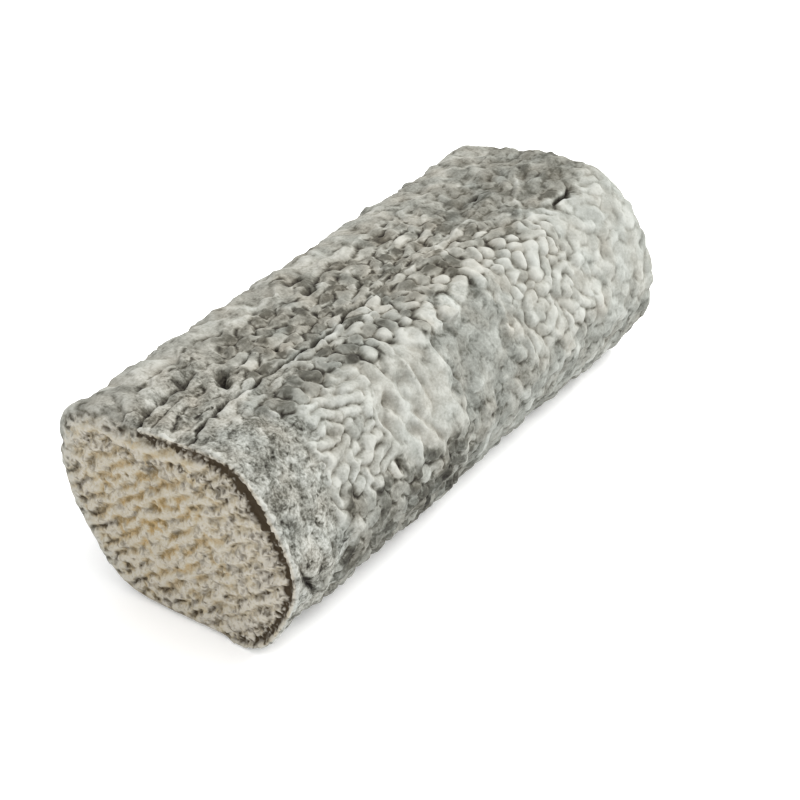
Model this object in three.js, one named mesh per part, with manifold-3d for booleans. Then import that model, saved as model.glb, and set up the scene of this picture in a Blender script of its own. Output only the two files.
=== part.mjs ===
// An ash-coated goat cheese log. It has slumped into soft flats while it ripened, its rind is
// creased and knobbly with mould, and the draining mat has left its weave in the near end.
//
// Millimetres, +Z up. The log lies along Y with its near end towards -Y. The origin is on the
// surface that the log rests on, under the middle of its bounding box.

import * as THREE from 'three';
import { mergeVertices } from 'three/addons/utils/BufferGeometryUtils.js';
import Module from 'manifold-3d';

// Driving dimensions
const length = 140;
const width = 58;
const height = 45.4;

// The cross-section: soft flats round an axis, each with the way it faces, in degrees from +X
// towards +Z, and its distance from the axis. A higher hardness gives tighter corners.
const flats = [
  { facing: -90, distance: 22.6 },
  { facing: -44, distance: 33.0 },
  { facing: -23, distance: 29.3 },
  { facing: 33, distance: 26.5 },
  { facing: 94, distance: 20.5 },
  { facing: 167, distance: 29.8 },
  { facing: 214, distance: 25.6 },
];
const cornerHardness = 8;
const axisHeight = 22;

// The ends: the far one is well rounded, the near one has a tight rim
const farRounding = 5;
const farDome = 1.2;
const nearRounding = 3;

// Swellings and hollows of the whole form: angle round the section in degrees, distance from
// the near end, how far each spreads both ways, and its height
const swells = [
  { angle: 84, along: 138, spreadAngle: 30, spreadAlong: 12, rise: 2.6 },
  { angle: 136, along: 48, spreadAngle: 9, spreadAlong: 30, rise: 1.1 },
  { angle: 140, along: 8, spreadAngle: 14, spreadAlong: 12, rise: 0.6 },
  { angle: -40, along: 128, spreadAngle: 18, spreadAlong: 16, rise: 1.0 },
];

// Grooves that run along the rind: the angle that each keeps to, how far it wanders, where it
// starts and ends, its depth, and its width from wall to wall
const grooves = [
  { angle: 84, wander: 1.6, start: -4, end: 104, depth: 1.3, breadth: 4.4 },
  { angle: 128, wander: 2.4, start: 2, end: 138, depth: 0.7, breadth: 4.0 },
  { angle: 115, wander: 1.2, start: -4, end: 22, depth: 1.5, breadth: 4.4 },
  { angle: 104, wander: 0.8, start: 18, end: 28, depth: 1.4, breadth: 4.0 },
  { angle: 59, wander: 0.8, start: 116, end: 127, depth: 1.3, breadth: 4.4 },
];
const wanderLength = 27;
const grooveFade = 5;

// Folds of loose rind that hang down the side, by their distance from the near end
const folds = [35, 41.5, 49, 57];
const foldTop = 54;
const foldFoot = 6;
const foldFade = 10;
const foldHeight = 1.0;
const foldBreadth = 2.6;
const foldSway = 2;

// Grains of the knobbly rind, lower on the side that faces right, and none where the log lies
const grainPitch = 5.4;
const grainRadius = 4.0;
const grainHeight = 1.0;
const smoothGrainHeight = 0.45;
const smoothSide = { from: -20, full: 10, fullTo: 58, to: 74 };
const baseHalfAngle = 24;
const baseFadeAngle = 50;

// The raised rim round the near end, and the sunk face inside it
const faceSink = 1.3;
const lipInside = 0.86;
const lipCrest = 0.97;
const lipFrom = -50;
const lipTo = 62;
const lipFade = 15;
const plainSinkShare = 0.3;

// The draining mat: rows of tufts that climb to the right across the near end
const matPitch = 3.2;
const matClimb = 36;
const matRelief = 0.8;
const matUnevenness = 0.35;
const gapShare = 0.4;
const castThickness = 6;

// Mesh density: columns round the section, rings along the side and over each end
const columns = 78;
const sideRings = 52;
const farRoundRings = 4;
const farDiscRings = 3;
const nearRoundRings = 2;
const nearRoundTurn = 60;
const shortestEdge = 0.4;

const nominalRadius = 26.5;
const degrees = Math.PI / 180;
const rindColour = '#a9a89e';

// A repeatable scatter value from 0 to 1 for a cell of a grid.
function scatter(column, row, salt) {
  const mixed = Math.sin(column * 127.1 + row * 311.7 + salt * 74.7) * 43758.5453;
  return mixed - Math.floor(mixed);
}

// A bell of height 1 that fades to nothing at about three spreads.
function bell(offset, spread) {
  return Math.exp(-0.5 * (offset / spread) ** 2);
}

// A ramp from 0 to 1 between two places, level at both.
function ramp(value, from, to) {
  return THREE.MathUtils.smoothstep(value, from, to);
}

// An angle in degrees taken to the range from -90 to 270, so that its seam is underneath.
function fromBelow(angle) {
  return THREE.MathUtils.euclideanModulo(angle + 90, 360) - 90;
}

// Distance from the axis to the smooth section at an angle in degrees.
function sectionRadius(angle) {
  let reach = 0;
  for (const flat of flats) {
    const share = Math.cos((angle - flat.facing) * degrees) / flat.distance;
    reach += Math.max(0, share) ** cornerHardness;
  }
  return reach ** (-1 / cornerHardness);
}

// A bed of rounded grains: 1 on top of a grain, 0 between grains.
function grains(across, along) {
  const column = Math.floor(across / grainPitch);
  const row = Math.floor(along / grainPitch);
  let nearest = Infinity;
  for (let i = column - 1; i <= column + 1; i += 1) {
    for (let j = row - 1; j <= row + 1; j += 1) {
      const x = (i + scatter(i, j, 1)) * grainPitch;
      const y = (j + scatter(i, j, 2)) * grainPitch;
      nearest = Math.min(nearest, Math.hypot(across - x, along - y));
    }
  }
  return 1 - Math.min(1, (nearest / grainRadius) ** 2);
}

// How far the rind stands out from the smooth section at an angle and a distance from the near
// end. It fades out underneath, where the log has lain flat.
function rindRelief(angle, along) {
  const across = angle * degrees * nominalRadius;
  let relief = 0;
  for (const swell of swells) {
    const aside = bell(angle - swell.angle, swell.spreadAngle);
    relief += swell.rise * aside * bell(along - swell.along, swell.spreadAlong);
  }
  const smoothShare =
    ramp(angle, smoothSide.from, smoothSide.full) * (1 - ramp(angle, smoothSide.fullTo, smoothSide.to));
  const grainRise = THREE.MathUtils.lerp(grainHeight, smoothGrainHeight, smoothShare);
  relief += grainRise * (grains(across, along) - 0.5);
  for (const groove of grooves) {
    const line = groove.angle + groove.wander * Math.sin((along * 2 * Math.PI) / wanderLength);
    const offset = (angle - line) * degrees * nominalRadius;
    const opening = ramp(along, groove.start, groove.start + grooveFade);
    const closing = ramp(along, groove.end - grooveFade, groove.end);
    relief -= groove.depth * opening * (1 - closing) * bell(offset, groove.breadth / 4);
  }
  const hanging =
    ramp(angle, foldFoot, foldFoot + foldFade) * (1 - ramp(angle, foldTop - foldFade, foldTop));
  for (const fold of folds) {
    const line = fold + foldSway * Math.sin((angle * 2 * Math.PI) / foldTop + fold);
    relief += foldHeight * hanging * bell(along - line, foldBreadth / 2);
  }
  const fromBase = Math.min(angle + 90, 270 - angle);
  return relief * ramp(fromBase, baseHalfAngle, baseFadeAngle);
}

// The rings from the far end's middle to the near end's: each one's size as a share of the full
// section, and its distance from the near end.
function ringProfile() {
  const half = width / 2;
  const rings = [];
  const roundStart = 1 - farRounding / half;
  for (let i = 0; i < farDiscRings; i += 1) {
    const share = (roundStart * i) / farDiscRings;
    rings.push({ share, along: length - farDome * share ** 2 });
  }
  const shoulder = length - farDome * roundStart ** 2;
  for (let i = 0; i < farRoundRings; i += 1) {
    const turn = (i / farRoundRings) * 90 * degrees;
    const share = roundStart + (1 - roundStart) * Math.sin(turn);
    rings.push({ share, along: shoulder - farRounding * (1 - Math.cos(turn)) });
  }
  const sideFrom = shoulder - farRounding;
  for (let i = 0; i < sideRings; i += 1) {
    rings.push({ share: 1, along: THREE.MathUtils.lerp(sideFrom, nearRounding, i / sideRings) });
  }
  for (let i = 0; i <= nearRoundRings; i += 1) {
    const turn = (i / nearRoundRings) * nearRoundTurn * degrees;
    const share = 1 - (nearRounding / half) * (1 - Math.cos(turn));
    rings.push({ share, along: nearRounding * (1 - Math.sin(turn)) - i });
  }
  rings.push({ share: 0, along: -nearRoundRings });
  return rings;
}

// A geometry with nothing but its positions, its shared corners merged.
function bareGeometry(geometry) {
  geometry.deleteAttribute('normal');
  geometry.deleteAttribute('uv');
  return mergeVertices(geometry);
}

// The log before the mat is pressed into it: a ball of rings and columns with its poles on the
// log's axis, drawn out to the section, the rounded ends and the rind's relief.
function plainLog() {
  const rings = ringProfile();
  const geometry = bareGeometry(new THREE.SphereGeometry(1, columns, rings.length - 1));
  const position = geometry.getAttribute('position');
  for (let i = 0; i < position.count; i += 1) {
    const polar = Math.acos(THREE.MathUtils.clamp(position.getY(i), -1, 1));
    const ring = rings[Math.round((polar / Math.PI) * (rings.length - 1))];
    const turn = Math.atan2(position.getZ(i), position.getX(i));
    const angle = fromBelow(turn / degrees);
    const reach = ring.share * (sectionRadius(angle) + rindRelief(angle, ring.along));
    const z = axisHeight + reach * Math.sin(turn);
    position.setXYZ(i, reach * Math.cos(turn), ring.along - length / 2, Math.max(0, z));
  }
  return geometry;
}

// How deep the mat lies in the near end at a point of it: a sunk face inside the rim, deepest
// beside the raised lip on the right, with tufts of mould between the mat's straws.
function matDepth(x, z, row, tuft) {
  const angle = Math.atan2(z - axisHeight, x) / degrees;
  const share = Math.hypot(x, z - axisHeight) / sectionRadius(angle);
  const atLip = ramp(angle, lipFrom - lipFade, lipFrom) * (1 - ramp(angle, lipTo, lipTo + lipFade));
  const sink = faceSink * THREE.MathUtils.lerp(plainSinkShare, 1, atLip);
  const onFace = 1 - ramp(share, lipInside, lipCrest);
  const straw = row % 2 === 0 ? 0 : 1;
  const gap = tuft % 2 === 0 ? 0 : gapShare;
  const uneven = matUnevenness * (scatter(row, tuft, 3) - 0.5);
  return onFace * (sink + matRelief * (Math.min(1, straw + gap) - 0.5 + uneven));
}

// The mat's cast: a block in front of the near end whose inner side carries the weave. Its grid
// lines follow the straws, two to each pitch, so that crests and hollows keep sharp.
function matCast() {
  const steps = Math.ceil(width / matPitch) + 4;
  const side = steps * matPitch;
  const block = new THREE.BoxGeometry(side, castThickness, side, 2 * steps, 1, 2 * steps);
  const geometry = bareGeometry(block);
  const position = geometry.getAttribute('position');
  const climb = matClimb * degrees;
  for (let i = 0; i < position.count; i += 1) {
    const along = position.getX(i);
    const up = position.getZ(i);
    const tuft = Math.round((along + side / 2) / (matPitch / 2));
    const row = Math.round((up + side / 2) / (matPitch / 2));
    const x = along * Math.cos(climb) - up * Math.sin(climb);
    const z = along * Math.sin(climb) + up * Math.cos(climb) + axisHeight;
    const inner = position.getY(i) > 0;
    const reach = inner ? matDepth(x, z, row, tuft) : -castThickness;
    position.setXYZ(i, x, reach - length / 2, z);
  }
  return geometry;
}

// The solid that a closed geometry bounds.
function solidOf(wasm, geometry) {
  const mesh = new wasm.Mesh({
    numProp: 3,
    vertProperties: new Float32Array(geometry.getAttribute('position').array),
    triVerts: new Uint32Array(geometry.index.array),
  });
  return new wasm.Manifold(mesh);
}

// The corners of a solid's triangles, with the ends of each very short edge taken as one corner.
// The cut leaves such edges where the weave meets the rim.
function weldedCorners(mesh) {
  const corners = Array.from(mesh.triVerts);
  const owner = Array.from({ length: mesh.numVert }, (unused, corner) => corner);
  const place = (corner) => new THREE.Vector3().fromArray(mesh.vertProperties, 3 * corner);
  const ownerOf = (corner) => (owner[corner] === corner ? corner : ownerOf(owner[corner]));
  for (let i = 0; i < corners.length; i += 1) {
    const next = i % 3 === 2 ? i - 2 : i + 1;
    const from = ownerOf(corners[i]);
    const to = ownerOf(corners[next]);
    if (from !== to && place(from).distanceTo(place(to)) < shortestEdge) {
      owner[Math.max(from, to)] = Math.min(from, to);
    }
  }
  return corners.map(ownerOf);
}

// The geometry of a solid, drawn to the log's outer size and set on the origin.
function fittedGeometry(solid) {
  const mesh = solid.getMesh();
  const corners = weldedCorners(mesh);
  const triangles = [];
  for (let i = 0; i < corners.length; i += 3) {
    const [a, b, c] = corners.slice(i, i + 3);
    if (a !== b && b !== c && c !== a) {
      triangles.push(a, b, c);
    }
  }
  const geometry = new THREE.BufferGeometry();
  geometry.setAttribute('position', new THREE.BufferAttribute(mesh.vertProperties, 3));
  geometry.setIndex(triangles);
  geometry.computeBoundingBox();
  const box = geometry.boundingBox;
  const size = box.getSize(new THREE.Vector3());
  const middle = box.getCenter(new THREE.Vector3());
  geometry.translate(-middle.x, -middle.y, -box.min.z);
  geometry.scale(width / size.x, length / size.y, height / size.z);
  return geometry;
}

const wasm = await Module();
wasm.setup();

const pressedLog = solidOf(wasm, plainLog()).subtract(solidOf(wasm, matCast()));
const rind = new THREE.MeshStandardMaterial({ color: rindColour, roughness: 0.95, metalness: 0 });
const cheeseLog = new THREE.Mesh(fittedGeometry(pressedLog), rind);
cheeseLog.name = 'cheese_log';

const part = new THREE.Group();
part.add(cheeseLog);

export default part;
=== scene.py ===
"""An ash-coated goat cheese log: a soft ripened log with a knobbly, ash-grey and white mould rind.

The log replaces its plain solid. It is modelled from a cylinder that is drawn to the log's
section and remeshed finely. Its surface is then moved out and in like the real rind. The rind's
relief and colours are worked out on flat sheets: one for the side, unrolled, and one for each end.

Sizes named here are in millimetres and angles in degrees, taken round the log's axis from +X
towards +Z. Distances along the log count from its near end. Blender's own sizes are metres.
Tones run from 0, white mould, to 1, bare ash. Besides ash, they carry painted shade in gaps, grooves,
hollows, holes and the near rim's band, and painted sheen and highlights on crests and ridges.
"""

import math
from typing import NamedTuple

import bpy
import numpy as np
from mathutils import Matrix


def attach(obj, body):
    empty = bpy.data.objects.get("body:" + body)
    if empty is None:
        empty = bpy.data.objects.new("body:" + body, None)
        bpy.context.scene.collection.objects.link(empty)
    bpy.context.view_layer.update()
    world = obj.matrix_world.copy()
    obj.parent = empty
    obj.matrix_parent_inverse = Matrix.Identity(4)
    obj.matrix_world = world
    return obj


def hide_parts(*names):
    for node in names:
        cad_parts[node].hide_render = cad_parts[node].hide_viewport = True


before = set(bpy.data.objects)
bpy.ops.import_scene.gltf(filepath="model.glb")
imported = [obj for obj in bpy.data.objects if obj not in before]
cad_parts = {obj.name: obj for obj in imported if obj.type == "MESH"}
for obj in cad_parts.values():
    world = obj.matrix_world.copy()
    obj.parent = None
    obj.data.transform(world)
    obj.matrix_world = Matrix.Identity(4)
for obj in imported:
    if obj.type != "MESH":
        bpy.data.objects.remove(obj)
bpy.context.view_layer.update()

MM = 0.001
NODE = "cheese_log"

# The log's plain form. A flat is the way that it faces and its distance from the axis.
LENGTH = 140.0
HALF_WIDTH = 29.0
AXIS_HEIGHT = 22.0
FLATS = (
    (-90, 22.6),
    (-44, 33.0),
    (-23, 29.3),
    (33, 26.5),
    (94, 20.5),
    (167, 29.8),
    (214, 25.6),
)
CORNER_HARDNESS = 8
NEAR_ROUNDING = 3.0
FAR_ROUNDING = 5.0
FAR_DOME = 1.2
GAP_SHARPNESS = 2.1

# Swellings of the plain form: angle, distance along, spread both ways, rise
SWELLS = (
    (84, 138, 30, 12, 2.6),
    (136, 48, 9, 30, 1.1),
    (140, 8, 14, 12, 0.6),
    (-40, 128, 18, 16, 1.0),
)
SWELLS_BEGIN = (24, 50)

# The side's sheet, unrolled from underneath. It runs past both ends by its lead.
GIRTH = 166.0
LEAD = 12.0
SIDE_CELLS = (768, 768)

# The steps uphill that reach a crest from anywhere near it double with each leap
UPHILL_LEAPS = 8

# Fineness of the cylinder and of the finished mesh
CYLINDER_SIDES = 120
VOXEL = 0.32
MOST_TRIANGLES = 196000


def ramp(value, start, end):
    """Goes from 0 to 1 between two values, level at both."""
    t = np.clip((value - start) / (end - start), 0, 1)
    return t * t * (3 - 2 * t)


def between(value, low, high, soft):
    """1 between two values and 0 outside them, with soft edges."""
    return ramp(value, low - soft, low + soft) * (1 - ramp(value, high - soft, high + soft))


def bell(offset, spread):
    """1 where the offset is 0, and down to nothing some spreads away."""
    return np.exp(-0.5 * (offset / spread) ** 2)


class Sheet:
    """A flat grid of cells that carries relief and colour. It repeats at its edges."""

    def __init__(self, start, size, shape):
        self.start = start
        self.shape = shape
        self.cell = tuple(s / n for s, n in zip(size, shape))
        self.u, self.v = np.meshgrid(
            *(a + c * np.arange(n) for a, c, n in zip(start, self.cell, self.shape)), indexing="ij"
        )
        wave_u = np.fft.fftfreq(self.shape[0], self.cell[0])[:, None]
        wave_v = np.fft.rfftfreq(self.shape[1], self.cell[1])[None, :]
        self.wave_u, self.wave_v = wave_u, wave_v
        self.wave = np.hypot(wave_u, wave_v)

    def noise(self, seed, size, spread=0.5):
        """Random swells about as long as size, with a deviation of 1."""
        white = np.fft.rfft2(np.random.RandomState(seed).standard_normal(self.shape))
        band = np.exp(-0.5 * (np.log(np.maximum(self.wave * size, 1e-6)) / spread) ** 2)
        field = np.fft.irfft2(white * band, self.shape)
        return field / field.std()

    def kernel(self, pitch, longer, heading):
        """Passes only ridges a pitch apart that run the way of the heading."""
        turn = math.radians(heading)
        along = self.wave_v * math.cos(turn) + self.wave_u * math.sin(turn)
        band = np.exp(-0.5 * ((self.wave * pitch - 1) / 0.24) ** 2)
        return band * np.exp(-0.5 * (1.2 * along * pitch * (longer - 1)) ** 2)

    def place_between(self, field):
        """Where each cell of a ridged field lies, from the nearest gap, 0, to the nearest crest, 1."""
        spectrum = np.fft.rfft2(field)
        wave = np.maximum(self.wave, 1e-6)
        slope_u = np.fft.irfft2(-1j * self.wave_u / wave * spectrum, self.shape)
        slope_v = np.fft.irfft2(-1j * self.wave_v / wave * spectrum, self.shape)
        return 1 - np.arctan2(np.hypot(slope_u, slope_v), field) / math.pi

    def crest_of(self, field):
        """The cell at the top of the way uphill from each cell."""
        cells = np.arange(field.size).reshape(self.shape)
        highest, uphill = field, cells
        for step in ((a, b) for a in (-1, 0, 1) for b in (-1, 0, 1)):
            beside = np.roll(field, step, (0, 1))
            uphill = np.where(beside > highest, np.roll(cells, step, (0, 1)), uphill)
            highest = np.maximum(beside, highest)
        uphill = uphill.ravel()
        for _ in range(UPHILL_LEAPS):
            uphill = uphill[uphill]
        return uphill.reshape(self.shape)

    def blur(self, field, width):
        """The field with what is finer than the width smoothed away."""
        soft = np.exp(-2 * (math.pi * width * self.wave) ** 2)
        return np.fft.irfft2(np.fft.rfft2(field) * soft, self.shape)

    def at(self, field, u, v):
        """The field's values at points, mixed from the four cells round each."""
        i = (u - self.start[0]) / self.cell[0]
        j = (v - self.start[1]) / self.cell[1]
        i0, j0 = np.floor(i).astype(int), np.floor(j).astype(int)
        fi, fj = i - i0, j - j0
        rows, columns = self.shape
        i1, j1 = (i0 + 1) % rows, (j0 + 1) % columns
        i0, j0 = i0 % rows, j0 % columns
        near = field[i0, j0] * (1 - fj) + field[i0, j1] * fj
        far = field[i1, j0] * (1 - fj) + field[i1, j1] * fj
        return near * (1 - fi) + far * fi


class Plot(NamedTuple):
    """A stretch of rind: its bounds, how its ridges or pearls grow, and their colours from 0 to 1.

    Longer is how much the ridges stretch along their heading, and pearly how much they break up.
    The edge sheen is how pale a painted sheen makes each crest's edge, the gap shade how dark painted
    shade makes the gaps, spread how much the crests' tones differ, and powder how strong the specks
    are.
    """
    angles: tuple
    alongs: tuple
    pitch: float
    longer: float = 1.5
    heading: float = 40.0
    pearly: float = 0.3
    rise: float = 0.8
    ash: float = 0.3
    spread: float = 0.12
    outline: float = 0.2
    gap_shade: float = 0.4
    powder: float = 0.5
    warmth: float = 0.3


# A heading of 0 is along the log and 90 is round it
PLOTS = (
    # Powdery mould by the near rim
    Plot(
        (10, 70), (-6, 17), 2.4, 1.0, 60, 0.5, 0.35,
        ash=0.38, spread=0.06, outline=0.0, gap_shade=0.1, powder=1.55,
    ),
    # Smooth edge below the long crease
    Plot(
        (70, 84), (0, 30), 3.6, 1.4, 20, 0.3, 0.35,
        ash=0.28, spread=0.10, powder=1.0, warmth=0.45,
    ),
    # Worm-like ridges
    Plot(
        (8, 57), (17, 36), 2.6, 1.1, 65, 0.4, 1.1,
        ash=0.15, spread=0.05, gap_shade=0.55, powder=0.6,
    ),
    # Broad folds
    Plot(
        (6, 54), (35, 58), 5.2, 1.1, 88, 0.3, 0.5,
        ash=0.19, spread=0.03, outline=0.1, gap_shade=0.1, powder=0.5,
    ),
    # Dark pearls along the shoulder
    Plot(
        (58, 76), (15, 64), 3.2, 1.0, 70, 0.8, 1.35,
        ash=0.47, spread=0.2, outline=0.6, gap_shade=1.1, powder=0.3,
    ),
    # Pale pearls above the folds
    Plot(
        (48, 60), (42, 64), 2.8, 1.0, 70, 0.8, 1.5,
        ash=0.31, spread=0.16, outline=0.3, gap_shade=1.3, powder=0.4,
    ),
    # Smooth blue-grey patch
    Plot(
        (10, 47), (59, 80), 3.4, 1.1, 50, 0.5, 0.25,
        ash=0.42, spread=0.03, gap_shade=0.15, powder=0.6, warmth=0.05,
    ),
    # Narrow ridges past the patch
    Plot(
        (6, 50), (80, 88), 2.6, 1.4, 88, 0.4, 0.7,
        ash=0.26, spread=0.08, powder=0.5,
    ),
    # Pale pearls past the patch
    Plot(
        (36, 66), (86, 112), 3.0, 1.1, 60, 0.7, 1.15,
        ash=0.16, spread=0.06, gap_shade=0.6, powder=0.3,
    ),
    # Worm-like ridges below those pearls
    Plot(
        (0, 38), (86, 112), 3.0, 1.15, 30, 0.6, 0.8,
        ash=0.17, spread=0.06, gap_shade=0.45, powder=0.4,
    ),
    # Low pale pebbles by the far end
    Plot(
        (-12, 60), (110, 146), 3.6, 1.0, 30, 0.5, 0.4,
        ash=0.18, spread=0.04, outline=0.1, gap_shade=0.3, powder=0.4, warmth=0.15,
    ),
    # Slanting flank between the pearls and the top
    Plot(
        (60, 86), (62, 104), 3.3, 1.15, 60, 0.7, 1.0,
        ash=0.38, spread=0.16, outline=0.6, gap_shade=0.9, powder=0.3, warmth=0.6,
    ),
    # Dark, low stretch of the top by the far end
    Plot(
        (60, 124), (98, 146), 3.4, 1.1, 30, 0.6, 0.4,
        ash=0.49, spread=0.07, powder=0.5, warmth=0.4,
    ),
    # Pebbles of the top
    Plot(
        (86, 127), (24, 98), 3.5, 1.0, 30, 0.7, 0.8,
        ash=0.50, spread=0.14, outline=0.7, gap_shade=1.1, powder=0.5, warmth=0.6,
    ),
    # Crumpled top by the near rim
    Plot(
        (86, 128), (-4, 26), 3.8, 1.7, 6, 0.4, 0.45,
        ash=0.46, spread=0.14, outline=0.6, gap_shade=1.0, powder=1.1, warmth=0.6,
    ),
    # Soft left shoulder
    Plot(
        (128, 152), (-6, 146), 4.0, 1.2, 10, 0.5, 0.28,
        ash=0.31, spread=0.08, powder=0.6, warmth=0.5,
    ),
    # Dark rind low on the side
    Plot(
        (-48, 6), (12, 60), 3.0, 1.1, 20, 0.6, 0.9,
        ash=0.57, spread=0.18, outline=0.6, gap_shade=0.7, powder=0.6,
    ),
    # Grey rind low on the side
    Plot(
        (-48, 2), (60, 142), 3.0, 1.15, 15, 0.5, 0.4,
        ash=0.36, spread=0.1, powder=0.6, warmth=0.1,
    ),
    # Powdery mould low by the near rim
    Plot(
        (-54, 12), (-6, 14), 2.4, 1.0, 30, 0.4, 0.3,
        ash=0.28, spread=0.06, outline=0.0, gap_shade=0.1, powder=1.9,
    ),
)
ELSEWHERE = Plot(
    (), (), 3.2, 1.1, 40, 0.6, 0.8,
    ash=0.40, spread=0.08, outline=0.3, gap_shade=0.6, powder=0.5,
)
PLOT_STRENGTH = 30.0
PLOT_EDGE_ANGLE = 3.0
PLOT_EDGE_ALONG = 2.0

# Grooves and ridges that run over the rind: path of (distance along, angle), depth (less than 0
# for a ridge), and half width
LINES = (
    # The long crease of the top, which ends as a low ridge
    (((-3, 72), (2, 79), (6, 83), (14, 85.5), (22, 85.5)), 1.2, 0.4),
    (((14, 85.5), (28, 85.5), (40, 81.5), (52, 84), (64, 85)), 1.4, 0.42),
    (((62, 85), (80, 85), (104, 88)), -0.2, 0.5),
    # The crevice by the near rim, and the smooth swelling beside it
    (((-3, 110), (2, 113), (8, 115.5), (14, 117), (21, 118)), 2.1, 0.9),
    (((-3, 119), (12, 122), (30, 122)), -0.7, 1.7),
    # The pit in the top, and the cavity near the far end
    (((20, 99.5), (22, 103), (25, 107)), 1.9, 1.5),
    (((117, 58), (121, 60.5), (126, 58.5)), 1.5, 0.7),
    # The flap of rind low by the near rim
    (((2.5, 0), (4, -4), (6, -10), (8.5, -21)), 1.0, 0.5),
    # Low ridges of the top, paled by a painted highlight
    (((2, 123), (20, 127), (40, 128.5), (70, 127.5), (108, 127.5)), -0.25, 0.7),
    (((34, 117), (48, 114), (66, 117)), -0.15, 0.5),
    (((108, 66), (114, 76), (121, 88), (127, 98)), -0.35, 0.6),
    # Short cracks and small pits of the top
    (((31.5, 129.5), (35.5, 129.5)), 1.0, 0.45),
    (((57.5, 129), (61.5, 129)), 1.0, 0.45),
    (((37, 117), (39.5, 117)), 1.0, 0.8),
    (((57, 118), (59.5, 118)), 1.4, 1.0),
    (((65.5, 102), (67.5, 102)), 1.4, 0.8),
    (((111, 103), (113, 103)), 1.0, 0.8),
    (((36, 96), (37.5, 99)), 1.0, 0.6),
    (((28, 104), (30, 105)), 1.0, 0.6),
)
LINE_FADE = 4.0
LINE_EDGE = 2.2
THIN_RIDGE = 0.5

# Folds that rise slowly towards the far end and drop at their crest: the crest's path of (angle,
# distance along), height, and how far back the rise starts
FOLDS = (
    (((6, 38.0), (15, 37.5), (30, 35.2), (45, 34.0), (54, 36.0)), 1.0, 2.6),
    (((8, 41.5), (15, 40.5), (30, 38.8), (45, 37.6), (54, 38.5)), 1.1, 2.8),
    (((4, 47.0), (12, 46.0), (25, 43.8), (38, 42.6), (53, 42.0)), 1.4, 3.6),
    (((6, 52.5), (14, 51.5), (28, 49.0), (40, 47.6), (54, 47.4)), 1.5, 4.2),
    (((4, 59.0), (12, 58.5), (25, 57.2), (38, 57.0), (47, 58.0), (55, 60.5)), 2.2, 7.5),
    (((8, 80.6), (20, 80.0), (35, 80.5), (50, 81.5)), 0.6, 3.0),
    (((10, 83.6), (20, 83.4), (35, 83.8), (52, 85.0)), 0.5, 3.0),
)
FOLD_HEIGHT = 1.2
FOLD_DROP = 1.3
FOLD_SOFTNESS = 0.35
FOLD_FADE = 4.0


def plot_maps(sheet, angle, along):
    """Each plot's share of every cell, with irregular borders, and maps of the plots' figures."""
    a = angle + 4.0 * sheet.noise(1, 14) + 2.2 * sheet.noise(2, 5)
    y = along + 2.2 * sheet.noise(3, 14) + 1.1 * sheet.noise(4, 5)
    shares = [np.ones(sheet.shape)]
    for plot in PLOTS:
        across = between(a, *plot.angles, PLOT_EDGE_ANGLE)
        shares.append(PLOT_STRENGTH * (across * between(y, *plot.alongs, PLOT_EDGE_ALONG)))
    shares = np.array(shares) / sum(shares)
    plots = (ELSEWHERE,) + PLOTS
    maps = {}
    for name in Plot._fields[2:]:
        maps[name] = sum(share * getattr(plot, name) for share, plot in zip(shares, plots))
    return shares, maps


GROW_STEPS = 12
GROW_STRENGTH = 2.6


def grow(sheet, kernels, shares, pearly, push, seed):
    """Lets ridges and pearls grow over the sheet, from noise. Below 0 are the gaps between them.

    Each step passes on only what has a plot's pitch and heading, adds the push, which is up where
    something is to stand and down in grooves, and then hardens the result.
    """
    field = sheet.noise(seed, 3.0)
    for _ in range(GROW_STEPS):
        spectrum = np.fft.rfft2(field)
        ridges = np.zeros(sheet.shape)
        for share, kernel in zip(shares, kernels):
            ridges += share * np.fft.irfft2(spectrum * kernel, sheet.shape)
        ridges += push
        field = np.tanh(GROW_STRENGTH * ridges - pearly)
    return ridges


def fold_relief(sheet, angle, along):
    """Height of the folds: a slow rise to each crest and a short drop behind it."""
    relief = np.zeros(sheet.shape)
    wave = 0.9 * sheet.noise(51, 14) + 0.2 * sheet.noise(52, 6)
    uneven = np.clip(0.85 + 0.3 * sheet.noise(53, 8), 0.3, 1.15)
    for path, height, run in FOLDS:
        angles, alongs = zip(*path)
        past = along + wave - np.interp(angle, angles, alongs)
        ends = between(angle, angles[0], angles[-1], FOLD_FADE)
        back = np.sin(0.5 * math.pi * np.clip(1 + past / run, 0, 1))
        front = np.cos(0.5 * math.pi * np.clip(past / FOLD_DROP, 0, 1))
        fold = FOLD_HEIGHT * height * uneven * ends * np.where(past < 0, back, front)
        relief = np.maximum(relief, fold)
    return sheet.blur(relief, FOLD_SOFTNESS)


class Lobe(NamedTuple):
    """One large lobe of the rind, with its half widths across and along its heading, and its tone."""
    along: float
    angle: float
    wide: float
    long: float
    heading: float
    rise: float
    ash: float
    bend: float = 0.0


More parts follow.
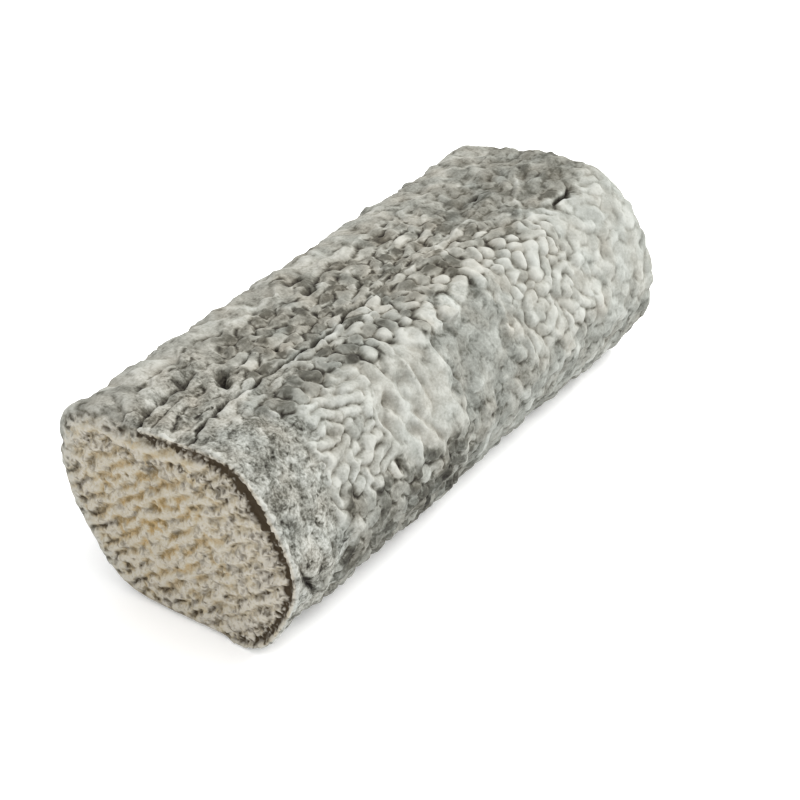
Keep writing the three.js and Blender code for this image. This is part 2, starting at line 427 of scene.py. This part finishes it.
# The largest lobes of the shoulder: two pale ones and a finger, the dark pearls by the near rim,
# and the pale ones above the folds and beyond them
LOBES = (
    Lobe(63.5, 52, 2.5, 4.0, 60, 1.5, 0.12, 0.3),
    Lobe(69.5, 50, 2.4, 4.0, 60, 1.4, 0.14, 0.3),
    Lobe(76.5, 55, 1.7, 4.6, 35, 1.4, 0.14, 0.3),
    Lobe(82.0, 56, 1.3, 3.8, 75, 1.2, 0.14),
    Lobe(85.0, 60, 1.2, 3.2, 70, 1.2, 0.16),
    Lobe(24.0, 67, 1.6, 2.0, 80, 1.4, 0.72),
    Lobe(27.6, 67, 1.8, 2.1, 80, 1.5, 0.68),
    Lobe(31.2, 66, 1.7, 2.2, 80, 1.4, 0.74),
    Lobe(24.5, 60, 1.5, 2.0, 80, 1.2, 0.45),
    Lobe(28.5, 60, 1.5, 2.0, 80, 1.2, 0.40),
    Lobe(44.5, 56.5, 1.3, 2.4, 60, 1.4, 0.18),
    Lobe(48.2, 59.5, 1.0, 1.3, 60, 1.2, 0.30),
    Lobe(52.0, 59, 1.4, 1.6, 40, 1.4, 0.20),
    Lobe(55.4, 61, 1.0, 1.0, 60, 1.2, 0.34),
    Lobe(58.5, 57.5, 1.4, 1.5, 60, 1.4, 0.18),
    Lobe(48.6, 53.5, 1.2, 2.2, 75, 1.2, 0.17),
    Lobe(89.0, 65, 1.3, 2.6, 60, 1.2, 0.16),
    Lobe(92.0, 62, 1.3, 1.9, 60, 1.3, 0.12),
    Lobe(96.5, 61, 1.4, 1.6, 60, 1.3, 0.14),
    Lobe(100.0, 60, 1.5, 1.6, 60, 1.4, 0.12),
    Lobe(95.5, 48, 1.5, 2.0, 60, 1.3, 0.10),
    Lobe(98.5, 44, 1.4, 1.7, 60, 1.3, 0.10),
    Lobe(100.5, 49, 1.5, 1.8, 60, 1.3, 0.10),
    Lobe(96.5, 39, 1.5, 2.2, 60, 1.2, 0.10),
    Lobe(103.5, 46, 1.4, 2.0, 60, 1.1, 0.10),
)

LOBE_WINDOW = 1.5
FAR_FROM_LOBES = 9.0


class Cover:
    """Rounded lobes over a sheet: the highest one in each cell, and its tone.

    Reach counts from 0 at the middle of the nearest lobe to 1 at its edge, and on outside it.
    """

    def __init__(self, sheet):
        self.sheet = sheet
        self.height = np.zeros(sheet.shape)
        self.reach = np.full(sheet.shape, FAR_FROM_LOBES)
        self.ash = np.zeros(sheet.shape)

    def add(self, lobe):
        sheet = self.sheet
        u, v = (lobe.angle + 90) * GIRTH / 360, lobe.along
        reach = max(lobe.long, lobe.wide) * LOBE_WINDOW
        i0 = int((u - reach - sheet.start[0]) / sheet.cell[0])
        i1 = int((u + reach - sheet.start[0]) / sheet.cell[0]) + 2
        j0 = int((v - reach - sheet.start[1]) / sheet.cell[1])
        j1 = int((v + reach - sheet.start[1]) / sheet.cell[1]) + 2
        i, j = np.arange(i0, i1), np.arange(j0, j1)
        du = (sheet.start[0] + i * sheet.cell[0] - u)[:, None]
        dv = (sheet.start[1] + j * sheet.cell[1] - v)[None, :]
        c, s = math.cos(math.radians(lobe.heading)), math.sin(math.radians(lobe.heading))
        p = (dv * c + du * s) / lobe.long
        q = (du * c - dv * s) / lobe.wide + lobe.bend * p * p
        far = p * p + q * q
        dome = lobe.rise * np.maximum(0, 1 - far)
        window = np.ix_(i % sheet.shape[0], j % sheet.shape[1])
        wins = dome >= self.height[window]
        self.height[window] = np.where(wins, dome, self.height[window])
        self.ash[window] = np.where(wins & (far < 1), lobe.ash, self.ash[window])
        self.reach[window] = np.minimum(far, self.reach[window])


def section_radius(angle):
    """Distance from the axis to the smooth section."""
    reach = 0
    for facing, distance in FLATS:
        share = np.cos(np.radians(angle - facing)) / distance
        reach = reach + np.maximum(0, share) ** CORNER_HARDNESS
    return reach ** (-1 / CORNER_HARDNESS)


def swelling(angle, along):
    """How far the swellings lift the plain form."""
    rise = 0
    for at_angle, at_along, spread_angle, spread_along, height in SWELLS:
        across = height * bell(angle - at_angle, spread_angle)
        rise = rise + across * bell(along - at_along, spread_along)
    return rise


def line_relief(sheet, angle, along):
    """Relief of the grooves and ridges, and where grooves get painted shade and thin ridges a painted
    highlight.
    """
    relief = np.zeros(sheet.shape)
    dark = np.zeros(sheet.shape)
    pale = np.zeros(sheet.shape)
    wobble = 0.5 * sheet.noise(61, 11) + 0.15 * sheet.noise(62, 4)
    uneven = np.clip(1 + 0.3 * sheet.noise(63, 6), 0.3, 1.6)
    for path, depth, half_width in LINES:
        alongs, angles = zip(*path)
        middle = np.interp(along, alongs, angles)
        slope = np.gradient(middle * GIRTH / 360, axis=1) / sheet.cell[1]
        offset = ((angle - middle) * GIRTH / 360 + wobble) / np.sqrt(1 + slope ** 2)
        fade = min(LINE_FADE, 0.3 * (alongs[-1] - alongs[0]))
        begun = ramp(along, alongs[0] - 1, alongs[0] + fade)
        ends = begun * (1 - ramp(along, alongs[-1] - fade, alongs[-1] + 1))
        across = np.exp(-np.abs(offset / (half_width * uneven)) ** LINE_EDGE)
        relief -= depth * ends * across
        if depth > 0:
            dark = np.maximum(dark, ends * across)
        else:
            pale = np.maximum(pale, ends * across * min(1, THIN_RIDGE / half_width))
    return relief, dark, pale


# The growth pattern's pitch varies between these two shares of a plot's own
PITCHES = (0.82, 1.2)

# How strongly the growth is pushed up in the placed lobes and on ridges, and down in grooves and
# in the gap round each placed lobe, which lies just outside the lobe's reach
LOBE_PUSH = 1.4
RIDGE_PUSH = 0.5
GROOVE_PUSH = 1.1
GAP_PUSH = 0.5
GAP_AT = 1.45
GAP_SPREAD = 0.3

# From a gap, 0, to a crest, 1: where the painted sheen of the crest's edge lies, and where the
# painted shade of the gap begins and is full
SHEEN_OUTLINE_AT = 0.27
SHEEN_OUTLINE_SPREAD = 0.10
GAP_SHADE_BEGINS = 0.24
GAP_SHADE_FULL = 0.04

# Painted shade that grooves and hollows add to the tone, and painted highlight that thin ridges and
# bumps take from it
GROOVE_PAINTED_SHADE = 0.9
RIDGE_PAINTED_HIGHLIGHT = -0.22
HOLLOW_PAINTED_SHADE = 0.30
BUMP_PAINTED_HIGHLIGHT = -0.20
HOLLOW_WARMTH = 0.6
HOLLOW_SIZE = 0.8

# The underside is almost flat as far as these angles from its middle
BASE_FLAT = 26
BASE_ENDS = 48
BASE_RELIEF = 0.12

# The relief levels off towards its highest, and its middle lies on the plain form
HIGHEST = 2.4
MIDDLE = 0.5


def grown_lobes(sheet, shares, pearly, push):
    """The side's growth pattern, with small lobes in some places and large ones in others."""
    small = ramp(sheet.noise(14, 8), -0.8, 0.8)
    kernels = [
        sheet.kernel(size * plot.pitch, plot.longer, plot.heading)
        for size in PITCHES for plot in (ELSEWHERE,) + PLOTS
    ]
    shares = np.concatenate([shares * small, shares * (1 - small)])
    return grow(sheet, kernels, shares, pearly, push, 100)


def lobe_tones(sheet, maps, crests, body, cover, warp):
    """Each lobe's own tone, the painted sheen that pales its edge, and the painted shade of the gaps
    round it.
    """
    own = sheet.noise(12, 3.0).ravel()[sheet.crest_of(crests)]
    tone = maps["ash"] + maps["spread"] * sheet.at(sheet.blur(own, 0.2), *warp)
    tone = tone + sheet.at((cover.ash > 0) * (cover.ash - tone), *warp)
    # Painted sheen pales each crest's edge
    ash = tone * (1 - maps["outline"] * bell(body - SHEEN_OUTLINE_AT, SHEEN_OUTLINE_SPREAD))
    uneven = ramp(sheet.noise(13, 4), -1.8, 0.4)
    # Painted shade darkens the gaps round the crests
    return ash + 0.8 * maps["gap_shade"] * ramp(body, GAP_SHADE_BEGINS, GAP_SHADE_FULL) * uneven


def side_sheet():
    """The rind of the side: its relief, tone with painted shade and highlights, warmth and powder, and
    two edges' unevenness.
    """
    sheet = Sheet((0.0, -LEAD), (GIRTH, LENGTH + 2 * LEAD), SIDE_CELLS)
    angle = sheet.u * 360 / GIRTH - 90
    along = sheet.v
    shares, maps = plot_maps(sheet, angle, along)
    cover = Cover(sheet)
    for lobe in LOBES:
        cover.add(lobe)
    grooves, dark, pale = line_relief(sheet, angle, along)
    inside = np.maximum(0, 1 - cover.reach)
    rim = bell(cover.reach - GAP_AT, GAP_SPREAD)
    push = LOBE_PUSH * inside - GAP_PUSH * rim - GROOVE_PUSH * dark + RIDGE_PUSH * pale
    crests = grown_lobes(sheet, shares, maps["pearly"], push)
    body = sheet.place_between(crests)
    tubes = np.sin(0.5 * math.pi * body)
    height = maps["rise"] * tubes * (1 + 0.15 * sheet.noise(11, 5))
    relief = height + 0.4 * sheet.blur(cover.height, 0.5)
    warp = (sheet.u + 0.3 * sheet.noise(6, 9, 0.3), sheet.v + 0.3 * sheet.noise(8, 9, 0.3))
    relief = sheet.at(relief, *warp) + fold_relief(sheet, angle, along)
    body = sheet.at(body, *warp)
    ash = lobe_tones(sheet, maps, crests, body, cover, warp)
    relief = relief * (1 - 0.7 * dark) + grooves
    relief += 0.26 * sheet.noise(81, 16) + 0.16 * sheet.noise(82, 6)
    relief += 0.02 * sheet.noise(83, 1.4, 0.3)
    # Painted shade in the grooves and a painted highlight on thin ridges
    ash += GROOVE_PAINTED_SHADE * dark + RIDGE_PAINTED_HIGHLIGHT * pale
    height_over = relief - sheet.blur(relief, HOLLOW_SIZE)
    hollow, bump = np.clip(-height_over, 0, 1), np.clip(height_over, 0, 1)
    # Painted shade in hollows and a painted highlight on bumps
    ash += HOLLOW_PAINTED_SHADE * hollow + BUMP_PAINTED_HIGHLIGHT * bump
    ash += 0.05 * sheet.noise(84, 9)
    warmth = maps["warmth"] + 0.12 * sheet.noise(86, 12) + HOLLOW_WARMTH * hollow
    from_base = np.minimum(angle + 90, 270 - angle)
    relief *= BASE_RELIEF + (1 - BASE_RELIEF) * ramp(from_base, BASE_FLAT, BASE_ENDS)
    relief = np.where(relief > 0, HIGHEST * np.tanh(relief / HIGHEST), relief)
    fields = {
        "relief": relief - MIDDLE,
        "ash": np.clip(ash, 0, 1),
        "warmth": np.clip(warmth, 0, 1),
        "powder": maps["powder"],
        "wobble": sheet.noise(91, 4),
        "ragged": sheet.noise(92, 1.6),
    }
    return sheet, fields


# The draining mat's weave on the ends: its rows' pitch, its knots' pitch along them, the tufts'
# own pitch, and the rows' slant
MAT_PITCH = 3.2
MAT_STEP = 3.1
MAT_TUFT = 2.2
MAT_CLIMB = 36.0
MAT_SOFTNESS = 0.22
TUFT_HEIGHT = 0.7
END_SIZE = (68.0, 56.0)
END_CELLS = (360, 288)
NEAR_DEPTH = 0.85
FAR_DEPTH = 0.7
NEAR_SEED = 300
FAR_SEED = 400


def end_sheet(seed, depth):
    """One end: tufts of mould in the mat's rows. Its relief, weave, specks with painted shade in the
    troughs, dust and tan patches.
    """
    sheet = Sheet(tuple(-size / 2 for size in END_SIZE), END_SIZE, END_CELLS)
    climb = math.radians(MAT_CLIMB)
    warp_along, warp_across = 0.7 * sheet.noise(seed + 1, 10), 0.3 * sheet.noise(seed + 2, 9)
    along = sheet.u * math.cos(climb) + sheet.v * math.sin(climb) + warp_along
    across = sheet.v * math.cos(climb) - sheet.u * math.sin(climb) + warp_across
    row = np.cos(2 * math.pi * across / MAT_PITCH)
    step = np.cos(2 * math.pi * (along / MAT_STEP + 0.4 * sheet.noise(seed + 3, 6)))
    patch = ramp(sheet.noise(seed + 7, 12), -1.8, 0.2)
    push = patch * (0.65 * row + 0.2 * step * (1 + row)) + 0.15 * sheet.noise(seed + 9, 5)
    tuft, wisp = (sheet.kernel(pitch, 1.0, 0) for pitch in (MAT_TUFT, 0.5 * MAT_TUFT))
    crests = grow(sheet, [tuft], [1.0], 0.75, push, seed + 5)
    cotton = grow(sheet, [wisp], [1.0], 0.4, 0.1 * crests, seed + 11)
    weave = np.sin(0.5 * math.pi * sheet.place_between(crests)) + 0.15 * cotton + 0.2 * patch * row
    weave = sheet.blur(weave, MAT_SOFTNESS)
    relief = TUFT_HEIGHT * depth * weave * (1 + 0.25 * sheet.noise(seed + 14, 3))
    fields = {
        "relief": relief - MIDDLE * depth,
        "weave": weave,
        # Brown specks with painted shade, strongest where the weave is low
        "speck_and_shade": ramp(0.5 - weave + 0.25 * sheet.noise(seed + 8, 3.0), 0.0, 0.5),
        "dust": ramp(sheet.noise(seed + 12, 1.3) + 0.6 * sheet.noise(seed + 13, 5), 0.2, 1.8),
        "tan": sheet.noise(seed + 15, 7),
    }
    return sheet, fields


# Holes in the near face, darkened with painted shade: distance to the right of the axis, height, size
FACE_HOLES = ((-5.0, 33.0, 0.8), (-5.0, 29.5, 0.7), (-4.5, 24.5, 0.6), (19.5, 17.0, 0.5))
HOLE_DEPTH = 1.0

# Towards which share of facing an end the rind gives way to the face
FACE_BEGINS = (0.55, 0.9)

# The dark band inside the near rim, of ash with painted shade of the gap: from the rim inwards, and
# the angle where it is widest
BAND_START = 0.7
BAND_END = 2.0
BAND_WIDENS = 2.2
BAND_WIDEST = 34

# The raised pale lip of the near rim, and the collar that runs round the top of the near face
LIP_HEIGHT = 0.4
LIP_TONE = -0.35
COLLAR_INSIDE = 4.4
COLLAR_ANGLES = (62, 150)

# How far in the side's rind has grown over an end's edge, and where it has on the near one
GROWN_OVER = 6.0
GROWN_SHARE = 0.8
GROWN_ANGLES = (104, 230)
END_POWDER = 0.6


def profile(angle, radius, along, full):
    """Nearest point of the rounded profile, and the way it faces: outwards and along the log."""
    near_half = along < LENGTH / 2
    near_rounding = NEAR_ROUNDING - GAP_SHARPNESS * near_gap(angle)
    rounding = np.where(near_half, near_rounding, FAR_ROUNDING)
    end = np.where(near_half, 0.0, LENGTH)
    inward = np.where(near_half, 1.0, -1.0)
    depth = (along - end) * inward
    a = radius - (full - rounding)
    b = rounding - depth
    corner = (a > 0) & (b > 0)
    size = np.maximum(np.hypot(a, b), 1e-6)
    on_end = (b > 0) & (a <= 0) | ((radius < 0.8 * full) & (b > 0))
    out_r = np.where(corner, full - rounding + rounding * a / size, np.where(on_end, radius, full))
    out_d = np.where(corner, rounding - rounding * b / size, np.where(on_end, 0.0, depth))
    face_r = np.where(corner, a / size, np.where(on_end, 0.0, 1.0))
    face_y = np.where(corner, -b / size, np.where(on_end, -1.0, 0.0)) * inward
    return out_r, end + inward * out_d, face_r, face_y


def plain_log():
    """A cylinder drawn to the log's section, then meshed finely."""
    bpy.ops.object.select_all(action="DESELECT")
    bpy.ops.mesh.primitive_cylinder_add(
        vertices=CYLINDER_SIDES, radius=HALF_WIDTH * MM, depth=LENGTH * MM,
        location=(0, 0, AXIS_HEIGHT * MM), rotation=(math.radians(90), 0, 0),
    )
    log = bpy.context.object
    log.name = "Cheese_Log"
    bpy.ops.object.transform_apply(location=True, rotation=True, scale=True)
    points = read_points(log.data)
    angle, _, along = place(points)
    radius = section_radius(angle)
    set_points(log.data, angle, radius, along)
    log.data.remesh_voxel_size = VOXEL * MM
    bpy.ops.object.voxel_remesh()
    return log


def read_points(mesh):
    """A mesh's points in millimetres."""
    points = np.empty(3 * len(mesh.vertices))
    mesh.vertices.foreach_get("co", points)
    return points.reshape(-1, 3) / MM


def set_points(mesh, angle, radius, along):
    """Puts a mesh's points back, none of them below the surface that the log rests on."""
    x = radius * np.cos(np.radians(angle))
    z = AXIS_HEIGHT + radius * np.sin(np.radians(angle))
    points = np.stack([x, along - LENGTH / 2, np.maximum(0, z)], axis=1)
    mesh.vertices.foreach_set("co", (points * MM).ravel())
    mesh.update()


def store(mesh, name, values):
    """Keeps a number for each point, which the material reads by its name."""
    layer = mesh.attributes.new(name, "FLOAT", "POINT")
    layer.data.foreach_set("value", np.ascontiguousarray(values, dtype=np.float32))


def place(points):
    """Each point's angle, distance from the axis and distance along."""
    x, z = points[:, 0], points[:, 2] - AXIS_HEIGHT
    angle = (np.degrees(np.arctan2(z, x)) + 90) % 360 - 90
    return angle, np.hypot(x, z), points[:, 1] + LENGTH / 2


def near_gap(angle):
    """How open the gap is between the near end and the rind round it: 0 closed, 1 open."""
    right = between(angle, -62, 54, 8)
    top = 0.85 * between(angle, 50, 113, 4)
    return np.maximum(right, top)


class Spots(NamedTuple):
    """Points of the plain form: where they are, how far inside the side, and its unevenness there.

    Here x and z count from the log's axis.
    """
    angle: np.ndarray
    along: np.ndarray
    inside: np.ndarray
    x: np.ndarray
    z: np.ndarray
    wobble: np.ndarray
    ragged: np.ndarray


def mat_marks(marked, spots):
    """The mat's relief on an end, its brown specks with painted shade in the troughs, its dust and its
    tan troughs. Most tan in the middle.
    """
    sheet, end = marked
    relief, weave, speck_and_shade, dust, tan = (
        sheet.at(end[name], spots.x, spots.z) for name in ("relief", "weave", "speck_and_shade", "dust", "tan")
    )
    middle = bell(np.hypot(spots.x + 5, spots.z), 15)
    trough = ramp(weave, 1.05, 0.45) * (0.15 + 0.85 * middle) * ramp(tan, -1.4, 0.4)
    trough = np.maximum(trough, 0.22 * middle)
    return relief * ramp(spots.inside, 0.6, 4.0), speck_and_shade, dust * (1 - 0.7 * middle), trough


def ash_and_shade_band(spots, gap):
    """The furry dark band inside the near rim, ash with painted shade of the gap there, widest at its
    upper right.
    """
    narrow = BAND_START + 0.15 * spots.ragged
    wide = BAND_END + BAND_WIDENS * bell(spots.angle - BAND_WIDEST, 22)
    wide = wide + 0.3 * spots.wobble + 0.5 * spots.ragged
    return between(spots.inside, narrow, wide, 0.5) * gap


def near_face(marked, spots, gap):
    """Relief, tone and tan troughs of the near face, with the band, collar and holes in it."""
    relief, speck_and_shade, dust, trough = mat_marks(marked, spots)
    angle, inside, x, z = spots.angle, spots.inside, spots.x, spots.z
    band = ash_and_shade_band(spots, gap)
    collar = bell(inside - COLLAR_INSIDE - 0.4 * spots.wobble, 0.75)
    collar = collar * between(angle, *COLLAR_ANGLES, 8)
    relief = relief * (1 - 0.7 * collar)
    relief += 0.7 * collar - 0.4 * band - 0.5 * ramp(inside, 0.5, 1.2) * gap
    speck_and_shade = speck_and_shade * (1 - collar)
    for at_x, at_z, size in FACE_HOLES:
        hole = bell(np.hypot(x - at_x, z + AXIS_HEIGHT - at_z), size)
        relief = relief - HOLE_DEPTH * hole
        # Painted shade in the hole
        speck_and_shade = np.maximum(speck_and_shade, 1.1 * hole)
    upper = ramp(z, 9, 15)
    # The specks and their painted shade are stronger towards the lower left
    low_left = np.maximum(ramp(-x - 0.9 * z, 14, 26), ramp(-z, 13, 18) * ramp(x, 14, 6))
    low_left = low_left * ramp(inside, 1.0, 3.5)
    dust = dust * (1 + 0.7 * upper) * (1 - collar) + 0.15 * upper
    ash = speck_and_shade * (0.33 + 0.42 * low_left) + 0.8 * dust - 0.2 * collar + 0.04 * ramp(x, 8, 16)
    # The band's ash and painted shade
    ash += band * (0.85 + 0.12 * spots.ragged)
    return relief, ash, trough


def far_face(marked, spots):
    """Relief, tone and tan troughs of the far face, which the mat marked less."""
    relief, speck_and_shade, dust, trough = mat_marks(marked, spots)
    return relief, 0.4 * speck_and_shade + 0.85 * dust + 0.06, 0.6 * trough


def rind(sheets, angle, radius, along, full, face_y):
    """Relief at points of the plain form, and what the material reads there, each from 0 to 1."""
    side, fields = sheets["side"]
    u = (angle + 90) * GIRTH / 360
    relief, ash, warmth, powder = (
        side.at(fields[name], u, along) for name in ("relief", "ash", "warmth", "powder")
    )
    inside = full - radius
    spots = Spots(
        angle, along, inside,
        radius * np.cos(np.radians(angle)), radius * np.sin(np.radians(angle)),
        side.at(fields["wobble"], u, 0 * along), side.at(fields["ragged"], u, along - inside),
    )
    near = ramp(-face_y, *FACE_BEGINS)
    far = ramp(face_y, *FACE_BEGINS)
    on_side = 1 - near - far
    gap = near_gap(angle)
    near_relief, near_ash, near_trough = near_face(sheets["near"], spots, gap)
    far_relief, far_ash, far_trough = far_face(sheets["far"], spots)
    corner = inside + np.maximum(0, along)
    lip = bell(corner - 0.4, 0.6) * gap * (along < LENGTH / 2)
    relief = relief * on_side + near_relief * near + far_relief * far
    relief += LIP_HEIGHT * lip * (1 + 0.4 * spots.ragged)
    ash = ash * on_side + near_ash * near + far_ash * far + LIP_TONE * lip
    grown_over = ramp(inside + 1.2 * spots.ragged, GROWN_OVER, 0.0)
    covered = GROWN_SHARE * grown_over * between(angle, *GROWN_ANGLES, 14)
    masks = {
        "ash": np.clip(ash, 0, 1),
        "warmth": warmth,
        "powder": powder * on_side + END_POWDER * (near + far),
        "end": near * (1 - covered) + far * (1 - grown_over),
        "trough": near_trough * near + far_trough * far,
    }
    return relief, masks


def carve(log, sheets):
    """Moves the fine mesh to the rind's relief, and stores what the material reads."""
    angle, radius, along = place(read_points(log.data))
    full = section_radius(angle)
    radius, along, face_r, face_y = profile(angle, radius, along, full)
    swell = swelling(angle, along) * ramp(np.minimum(angle + 90, 270 - angle), *SWELLS_BEGIN)
    relief, masks = rind(sheets, angle, radius, along, full, face_y)
    radius = radius * (1 + swell / full) + relief * face_r
    dome = FAR_DOME * (radius / full) ** 2 * ramp(face_y, 0.0, 0.9)
    along = along + relief * face_y - dome
    set_points(log.data, angle, radius, along)
    for name, values in masks.items():
        store(log.data, name, values)


def thin_out(log):
    """Takes triangles from where the rind is smooth, down to the most that a piece may have."""
    bpy.ops.object.select_all(action="DESELECT")
    log.select_set(True)
    bpy.context.view_layer.objects.active = log
    thin = log.modifiers.new("Thin", "DECIMATE")
    thin.ratio = MOST_TRIANGLES / (2 * len(log.data.polygons))
    bpy.ops.object.modifier_apply(modifier=thin.name)
    points = read_points(log.data)
    points[:, 2] = np.maximum(0, points[:, 2])
    log.data.vertices.foreach_set("co", (points * MM).ravel())
    log.data.update()


def rgb(red, green, blue):
    """A colour as it shows on a screen, from 0 to 255, as a shader's own."""
    parts = [c / 255 for c in (red, green, blue)]
    return tuple(c / 12.92 if c <= 0.04045 else ((c + 0.055) / 1.055) ** 2.4 for c in parts) + (1,)


# The rind's colours by its tone, where it is cool and where it is warm, and the ends' by how deep
# in a tan trough they lie
COOL_RIND = (
    (0.0, rgb(165, 167, 162)),
    (0.3, rgb(134, 136, 130)),
    (0.62, rgb(85, 86, 80)),
    (1.0, rgb(36, 34, 30)),
)
WARM_RIND = (
    (0.0, rgb(165, 162, 153)),
    (0.3, rgb(134, 130, 120)),
    (0.62, rgb(85, 81, 71)),
    (1.0, rgb(34, 30, 25)),
)
IVORY_TO_TAN = (
    (0.0, rgb(172, 167, 156)),
    (0.4, rgb(162, 153, 133)),
    (1.0, rgb(150, 128, 88)),
)
# The ends' darkest colour, for their dust, ash and brown specks and for painted shade in the troughs,
# holes and the near rim's band
END_DUST_AND_SHADE = rgb(54, 45, 32)
END_DARKENS = (
    (0.08, (0, 0, 0, 1)),
    (0.5, (0.58, 0.58, 0.58, 1)),
    (0.9, (1, 1, 1, 1)),
)

# Sizes of the powder's grain, its mottling and its larger dark flecks
GRAIN = 0.6
MOTTLE = 2.2
FLECKS = 1.7
BUMP_HEIGHT = 0.15
BUMP_STRENGTH = 0.8


def rind_material():
    """Mould over ash: tones from the mesh, which carry painted shade and highlights, powdery specks in
    them, and the ends' ivory and tan.
    """
    material = bpy.data.materials.new("Mould_Rind")
    material.use_nodes = True
    nodes, links = material.node_tree.nodes, material.node_tree.links
    shader = nodes["Principled BSDF"]
    shader.inputs["Roughness"].default_value = 0.95
    shader.inputs["Specular IOR Level"].default_value = 0.15

    def join(value, socket):
        """Links a node's output to the socket, or sets the socket to a plain value."""
        if isinstance(value, bpy.types.NodeSocket):
            links.new(value, socket)
        else:
            socket.default_value = value

    def attribute(name):
        node = nodes.new("ShaderNodeAttribute")
        node.attribute_name = name
        return node.outputs["Fac"]

    def mix(factor, a, b):
        node = nodes.new("ShaderNodeMix")
        node.data_type = "RGBA"
        join(factor, node.inputs[0])
        join(a, node.inputs[6])
        join(b, node.inputs[7])
        return node.outputs[2]

    def sum_of(a, b, scale):
        """a + b * scale"""
        node = nodes.new("ShaderNodeMath")
        node.operation = "MULTIPLY_ADD"
        join(b, node.inputs[0])
        join(scale, node.inputs[1])
        join(a, node.inputs[2])
        return node.outputs[0]

    def stops(value, colours):
        """The colour at a value, between stops."""
        node = nodes.new("ShaderNodeValToRGB")
        links.new(value, node.inputs[0])
        elements = node.color_ramp.elements
        while len(elements) < len(colours):
            elements.new(0.5)
        for element, (position, tint) in zip(elements, colours):
            element.position = position
            element.color = tint
        return node.outputs[0]

    def noise(size, detail):
        """Swells of a size, half of them above 0 and half below."""
        node = nodes.new("ShaderNodeTexNoise")
        node.inputs["Scale"].default_value = 1 / (size * MM)
        node.inputs["Detail"].default_value = detail
        node.inputs["Roughness"].default_value = 0.65
        links.new(coordinates.outputs["Object"], node.inputs["Vector"])
        return sum_of(-0.5, node.outputs["Fac"], 1.0)

    def above(value, level):
        """How far a value is above a level, and 0 below it."""
        node = nodes.new("ShaderNodeMath")
        node.operation = "SUBTRACT"
        node.use_clamp = True
        join(value, node.inputs[0])
        join(level, node.inputs[1])
        return node.outputs[0]

    coordinates = nodes.new("ShaderNodeTexCoord")
    speckle = noise(GRAIN, 3.0)
    mottle = sum_of(speckle, noise(MOTTLE, 2.0), 0.75)
    flecks = above(noise(FLECKS, 2.0), 0.06)
    mottle = sum_of(mottle, flecks, 2.0)
    powder = sum_of(0.0, mottle, attribute("powder"))
    # The ash attribute holds the ash tone together with painted shade and painted highlights
    ash = sum_of(attribute("ash"), powder, 0.85)
    rind_colour = mix(attribute("warmth"), stops(ash, COOL_RIND), stops(ash, WARM_RIND))
    trough = sum_of(attribute("trough"), speckle, 1.2)
    end_colour = stops(trough, IVORY_TO_TAN)
    # Ends darken to their dust, ash, specks and painted shade
    end_colour = mix(stops(ash, END_DARKENS), end_colour, END_DUST_AND_SHADE)
    links.new(mix(attribute("end"), rind_colour, end_colour), shader.inputs["Base Color"])
    bump = nodes.new("ShaderNodeBump")
    bump.inputs["Distance"].default_value = BUMP_HEIGHT * MM
    bump.inputs["Strength"].default_value = BUMP_STRENGTH
    links.new(noise(GRAIN, 3.0), bump.inputs["Height"])
    links.new(bump.outputs["Normal"], shader.inputs["Normal"])
    return material


# The studio, in metres
FLOOR_SIZE = 6
FLOOR_GLOW = 0.12
DAYLIGHT = 1.25
SOFTBOX_SIZE = (0.7, 0.5)
SOFTBOX_POWER = 9
SOFTBOX_PLACE = (0.32, 0.45, 0.75)
CAMERA_PLACE = (0.20586, -0.29379, 0.25025)
CAMERA_DOWN = 33.5
CAMERA_ROUND = 34.5
LENS = 90
SENSOR = 36


def set_stage():
    """A plain white floor, even daylight and one large soft lamp behind the log."""
    bpy.ops.object.select_all(action="DESELECT")
    bpy.ops.mesh.primitive_plane_add(size=FLOOR_SIZE, location=(0, 0, 0))
    floor = bpy.context.object
    floor.name = "Floor"
    material = bpy.data.materials.new("Floor_White")
    material.use_nodes = True
    shader = material.node_tree.nodes["Principled BSDF"]
    shader.inputs["Base Color"].default_value = (0.98, 0.98, 0.98, 1)
    shader.inputs["Roughness"].default_value = 0.9
    shader.inputs["Emission Color"].default_value = (1, 1, 1, 1)
    shader.inputs["Emission Strength"].default_value = FLOOR_GLOW
    floor.data.materials.append(material)
    world = bpy.data.worlds.new("Studio")
    bpy.context.scene.world = world
    world.use_nodes = True
    background = world.node_tree.nodes["Background"]
    background.inputs["Color"].default_value = (1, 1, 1, 1)
    background.inputs["Strength"].default_value = DAYLIGHT
    lamp = bpy.data.lights.new("Softbox", "AREA")
    lamp.shape = "RECTANGLE"
    lamp.size, lamp.size_y = SOFTBOX_SIZE
    lamp.energy = SOFTBOX_POWER
    holder = bpy.data.objects.new("Softbox", lamp)
    holder.location = SOFTBOX_PLACE
    direction = -holder.location.normalized()
    holder.rotation_euler = direction.to_track_quat("-Z", "Y").to_euler()
    bpy.context.scene.collection.objects.link(holder)
    bpy.context.scene.view_settings.view_transform = "Standard"


def set_camera():
    data = bpy.data.cameras.new("Camera")
    data.lens = LENS
    data.sensor_width = SENSOR
    camera = bpy.data.objects.new("Camera", data)
    camera.location = CAMERA_PLACE
    camera.rotation_euler = (math.radians(90 - CAMERA_DOWN), 0, math.radians(CAMERA_ROUND))
    bpy.context.scene.collection.objects.link(camera)
    bpy.context.scene.camera = camera


set_camera()
set_stage()

sheets = {
    "side": side_sheet(),
    "near": end_sheet(NEAR_SEED, NEAR_DEPTH),
    "far": end_sheet(FAR_SEED, FAR_DEPTH),
}
log = plain_log()
carve(log, sheets)
thin_out(log)
bpy.ops.object.select_all(action="DESELECT")
log.select_set(True)
bpy.context.view_layer.objects.active = log
bpy.ops.object.shade_smooth()
log.data.materials.clear()
log.data.materials.append(rind_material())
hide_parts(NODE)
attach(log, "root")
